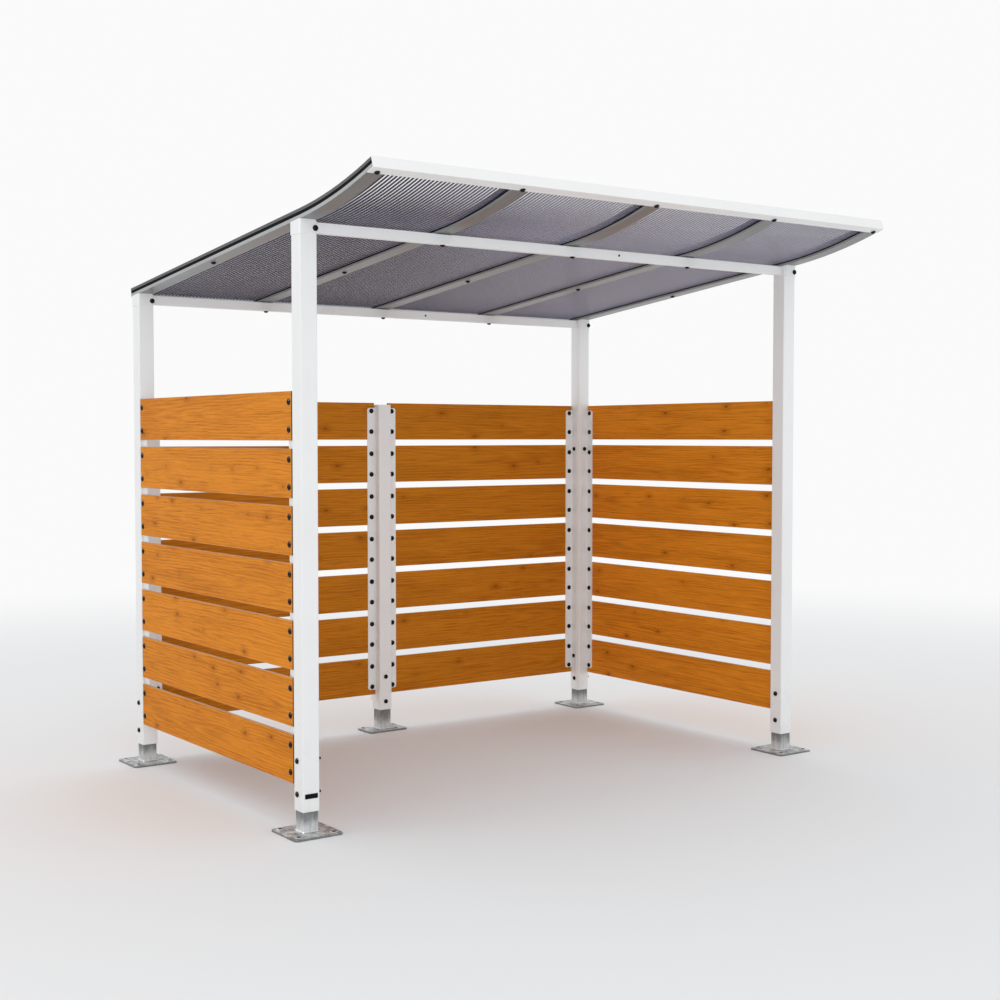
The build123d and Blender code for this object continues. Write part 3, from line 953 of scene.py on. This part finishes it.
class SHELTER_OT_fit_board_bolts(Operator):
    """Bolt the boards to the brackets and the brackets to the corner posts"""

    bl_idname = "shelter.fit_board_bolts"
    bl_label = "Fit Board Bolts"

    def execute(self, context):
        fasteners = context.scene.shelter_fasteners
        boards = context.scene.shelter_boards
        black = black_gloss(context.scene.shelter_colours)
        inside = []
        outside = []
        legs = []
        for post, wall, run, inward in BRACKETS.values():
            line = run * (reach(post, run) + boards.flange_line)
            depth = reach(wall, inward) + boards.bracket_thickness
            for bottom, top in board_levels(wall, boards):
                for height in (bottom + boards.edge_line, top - boards.edge_line):
                    spot = line + UP * height
                    inside.append(seat(spot + inward * depth, inward))
                    outside.append(seat(spot - inward * reach(wall, -inward), -inward))
            if post != "middle_post":
                spot = run * (reach(post, run) + boards.bracket_thickness) + UP * boards.leg_bolt_level
                legs.append(seat(spot + inward * middle(post).dot(inward), run))
        head = domed_head(*fasteners.head)
        small_head = domed_head(*fasteners.small_head)
        make_copies("board_bolts_inside", head, inside, black, "black_fastener")
        make_copies("board_bolts_outside", head, outside, black, "black_fastener")
        make_copies("bracket_bolts", small_head, legs, black, "black_fastener")
        return {"FINISHED"}


class SHELTER_OT_fit_frame_bolts(Operator):
    """Fit the bolts through the stubs and collars"""

    bl_idname = "shelter.fit_frame_bolts"
    bl_label = "Fit Frame Bolts"

    def execute(self, context):
        fasteners = context.scene.shelter_fasteners
        bracket = context.scene.shelter_boards.bracket_thickness
        black = bpy.data.materials["black_fastener"]
        heads = []
        ends = []
        collars = []
        for corner in CORNERS:
            post = f"{corner}_post"
            low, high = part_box(post)
            y = middle(post).y + (fasteners.clamp_setback if low.x < 0 else 0.0)
            for height, cover in zip(fasteners.clamp_levels, (0.0, bracket)):
                left = cover if corner == "rear_right" else 0.0
                right = cover if corner == "rear_left" else 0.0
                heads.append(seat((low.x - left, y, height), LEFT))
                ends.append(seat((high.x + right, y, height), RIGHT))
            collar_low, collar_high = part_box(f"{corner}_collar")
            level = collar_high.z - fasteners.collar_drop
            collars.append(seat((high.x - fasteners.collar_edge, collar_low.y, level), AHEAD))
        low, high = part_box("middle_post")
        for height in fasteners.clamp_levels:
            heads.append(seat((middle("middle_post").x, low.y, height), AHEAD))
            ends.append(seat((middle("middle_post").x, high.y, height), BEHIND))
        head = domed_head(*fasteners.small_head)
        make_copies("stub_bolts", head, heads, black, "black_fastener")
        make_copies("stub_bolt_ends", nut_and_end(fasteners), ends, black, "black_fastener")
        make_copies("collar_bolts", head, collars, black, "black_fastener")
        return {"FINISHED"}


class SHELTER_OT_fit_roof_bolts(Operator):
    """Fit the bolts through the roof's bars, channel and beams, and the nuts on its caps"""

    bl_idname = "shelter.fit_roof_bolts"
    bl_label = "Fit Roof Bolts"

    def execute(self, context):
        fasteners = context.scene.shelter_fasteners
        roof = context.scene.shelter_roof
        line = RoofLine(roof)
        top = roof.bar_height + roof.sheet_thickness + roof.cap_height
        front = line.front - roof.front_bolt_inset
        back = line.station(roof.middle_bolt_y)
        heads = []
        nuts = []
        for bar in BARS:
            x = middle(f"glazing_bar_{bar}").x
            for station, wall in ((front, roof.channel_wall), (back, 0.0)):
                heads.append(seat(line.point(x, station, -wall), -line.upward(station)))
                nuts.append(seat(line.point(x, station, top + wall), line.upward(station)))
            if bar not in (BARS[0], BARS[-1]):
                for beam in ("front_beam", "rear_beam"):
                    heads.append(seat((x, middle(beam).y, -reach(beam, -UP)), -UP))
        head = domed_head(*fasteners.roof_head)
        nut = capped_nut(*fasteners.roof_nut)
        make_copies("roof_bolts", head, heads, bpy.data.materials["black_fastener"], "black_fastener")
        make_copies("roof_nuts", nut, nuts, bpy.data.materials["bright_aluminium"], "mill_aluminium")
        return {"FINISHED"}


class SHELTER_OT_fit_plugs(Operator):
    """Close the front posts' spare holes with white plugs and the beams' drain holes with grommets"""

    bl_idname = "shelter.fit_plugs"
    bl_label = "Fit Plugs"

    def execute(self, context):
        fasteners = context.scene.shelter_fasteners
        plugs = []
        for post, outward in (("front_left_post", LEFT), ("front_right_post", RIGHT)):
            axis = middle(post)
            front = -reach(post, AHEAD)
            for height in fasteners.plug_levels:
                plugs.append(seat((axis.x, front, height), AHEAD))
            face = outward.x * reach(post, outward)
            plugs.append(seat((face, axis.y, fasteners.plug_levels[0]), outward))
        plug = low_plug(*fasteners.plug)
        make_copies("post_plugs", plug, plugs, bpy.data.materials["powder_coat"], "white_coat")
        drains = []
        for beam in ("front_beam", "rear_beam"):
            face = -reach(beam, AHEAD)
            drains.append(seat((fasteners.drain_x, face, middle(beam).z), AHEAD))
        grommet = low_plug(fasteners.drain_radius, fasteners.plug[1])
        make_copies("beam_grommets", grommet, drains, bpy.data.materials["seal_rubber"], "black_rubber")
        return {"FINISHED"}


class SHELTER_OT_fit_bare_plate(Operator):
    """Fit the small bare plate on the front left post"""

    bl_idname = "shelter.fit_bare_plate"
    bl_label = "Fit Bare Plate"

    def execute(self, context):
        fasteners = context.scene.shelter_fasteners
        front = -reach("front_left_post", AHEAD)
        centre = Vector((middle("front_left_post").x, front, fasteners.plate_level))
        corner = fasteners.plate_corner
        half_width = fasteners.plate_width / 2 - corner
        half_height = fasteners.plate_height / 2 - corner
        outline = []
        for turn, (side, end) in enumerate(((1, 1), (-1, 1), (-1, -1), (1, -1))):
            for step in range(CORNER_STEPS + 1):
                angle = pi / 2 * (turn + step / CORNER_STEPS)
                x = side * half_width + corner * cos(angle)
                outline.append((x, end * half_height + corner * sin(angle)))
        layers = ((1.0, 0.0), (1.0, fasteners.plate_depth * 0.65), (0.985, fasteners.plate_depth))
        rings = []
        for share, depth in layers:
            rings.append([centre + Vector((x * share, -depth, z * share)) for x, z in outline])
        make_piece("bare_plate", *lofted(rings), bpy.data.materials["seal_rubber"], "black_rubber")
        return {"FINISHED"}


class SHELTER_OT_set_stage(Operator):
    """Set the floor, the lamps and the camera"""

    bl_idname = "shelter.set_stage"
    bl_label = "Set Stage"

    def execute(self, context):
        stage = context.scene.shelter_stage
        self.lay_floor(context, stage)
        self.light_world(context, stage)
        for name in ("front", "side", "top"):
            self.hang_lamp(context, stage, name)
        data = bpy.data.cameras.new("camera")
        data.lens = stage.lens
        data.sensor_width = SENSOR_WIDTH
        camera = bpy.data.objects.new("camera", data)
        camera.location = stage.eye
        camera.rotation_euler = (pi / 2 - stage.dip, 0, -stage.heading)
        context.scene.collection.objects.link(camera)
        context.scene.camera = camera
        context.scene.view_settings.view_transform = "Standard"
        return {"FINISHED"}

    def lay_floor(self, context, stage):
        """Round floor that fades into the backdrop's colour away from the shelter."""
        finish = Finish("floor")
        far = finish.span(finish.place()).ease(stage.fade_start, stage.fade_end)
        finish.surface(Base_Color=finish.rgba(stage.floor), Roughness=0.85)
        backdrop = finish.rgba(stage.backdrop)
        glow = finish.pick("ShaderNodeEmission", {}, {"Color": backdrop, "Strength": 1.0})
        near = Signal(finish, finish.shader.outputs[0])
        output = next(node for node in finish.tree.nodes if node.type == "OUTPUT_MATERIAL")
        finish.feed(output, {"Surface": finish.pick("ShaderNodeMixShader", {}, {0: far, 1: near, 2: glow})})
        mesh = bpy.data.meshes.new("floor")
        turns = [2 * pi * step / FLOOR_STEPS for step in range(FLOOR_STEPS)]
        rim = [(stage.floor_radius * cos(turn), stage.floor_radius * sin(turn), 0) for turn in turns]
        mesh.from_pydata(rim, [], [range(FLOOR_STEPS)])
        mesh.materials.append(finish.material)
        floor = bpy.data.objects.new("floor", mesh)
        context.scene.collection.objects.link(floor)

    def light_world(self, context, stage):
        """Even light from all round, with the backdrop's colour where the camera or a reflection sees it."""
        world = bpy.data.worlds.new("studio")
        world.use_nodes = True
        context.scene.world = world
        wiring = Wiring(world.node_tree)
        wiring.tree.nodes.clear()
        path = wiring.node("ShaderNodeLightPath", {}, {})
        rays = ("Is Camera Ray", "Is Glossy Ray", "Is Transmission Ray")
        straight, glossy, through = (Signal(wiring, path.outputs[ray]) for ray in rays)
        even = wiring.pick("ShaderNodeBackground", {}, {"Color": (1, 1, 1, 1), "Strength": stage.ambient})
        backdrop = wiring.rgba(stage.backdrop)
        seen = wiring.pick("ShaderNodeBackground", {}, {"Color": backdrop, "Strength": 1.0})
        shows = straight.larger(glossy).larger(through)
        light = wiring.pick("ShaderNodeMixShader", {}, {0: shows, 1: even, 2: seen})
        wiring.node("ShaderNodeOutputWorld", {}, {"Surface": light})

    def hang_lamp(self, context, stage, name):
        """Soft square lamp turned to its aim; the side one only puts a gleam on glossy pieces."""
        place = Vector(getattr(stage, f"{name}_lamp"))
        aim = Vector(getattr(stage, f"{name}_aim"))
        data = bpy.data.lights.new(f"{name}_lamp", "AREA")
        data.shape = "SQUARE"
        data.size = getattr(stage, f"{name}_size")
        data.energy = getattr(stage, f"{name}_power")
        lamp = bpy.data.objects.new(f"{name}_lamp", data)
        lamp.location = place
        lamp.rotation_euler = (aim - place).to_track_quat("-Z", "Y").to_euler()
        lamp.visible_diffuse = name != "side"
        context.scene.collection.objects.link(lamp)


OPERATORS = (
    SHELTER_OT_coat_steelwork,
    SHELTER_OT_galvanise_feet,
    SHELTER_OT_finish_roof_bars,
    SHELTER_OT_make_roof_sheets,
    SHELTER_OT_grain_boards,
    SHELTER_OT_fit_board_bolts,
    SHELTER_OT_fit_frame_bolts,
    SHELTER_OT_fit_roof_bolts,
    SHELTER_OT_fit_plugs,
    SHELTER_OT_fit_bare_plate,
    SHELTER_OT_set_stage,
)


class SHELTER_PT_looks(Panel):
    """Steps that dress the shelter"""

    bl_idname = "SHELTER_PT_looks"
    bl_label = "Bike Shelter"
    bl_space_type = "VIEW_3D"
    bl_region_type = "UI"
    bl_category = "Shelter"

    def draw(self, context):
        column = self.layout.column()
        for operator in OPERATORS:
            column.operator(operator.bl_idname)


SETTINGS = {
    "shelter_colours": ShelterColours,
    "shelter_roof": ShelterRoof,
    "shelter_boards": ShelterBoards,
    "shelter_fasteners": ShelterFasteners,
    "shelter_stage": ShelterStage,
}


def register():
    """Add the settings, the operators and the panel."""
    for name, group in SETTINGS.items():
        bpy.utils.register_class(group)
        setattr(bpy.types.Scene, name, PointerProperty(type=group))
    for operator in OPERATORS:
        bpy.utils.register_class(operator)
    bpy.utils.register_class(SHELTER_PT_looks)


def unregister():
    """Take out the panel, the operators and the settings."""
    bpy.utils.unregister_class(SHELTER_PT_looks)
    for operator in reversed(OPERATORS):
        bpy.utils.unregister_class(operator)
    for name, group in reversed(SETTINGS.items()):
        delattr(bpy.types.Scene, name)
        bpy.utils.unregister_class(group)


def main():
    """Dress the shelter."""
    register()
    bpy.ops.shelter.coat_steelwork()
    bpy.ops.shelter.galvanise_feet()
    bpy.ops.shelter.finish_roof_bars()
    bpy.ops.shelter.make_roof_sheets()
    bpy.ops.shelter.grain_boards()
    bpy.ops.shelter.fit_board_bolts()
    bpy.ops.shelter.fit_frame_bolts()
    bpy.ops.shelter.fit_roof_bolts()
    bpy.ops.shelter.fit_plugs()
    bpy.ops.shelter.fit_bare_plate()
    bpy.ops.shelter.set_stage()


if __name__ == "__main__":
    main()
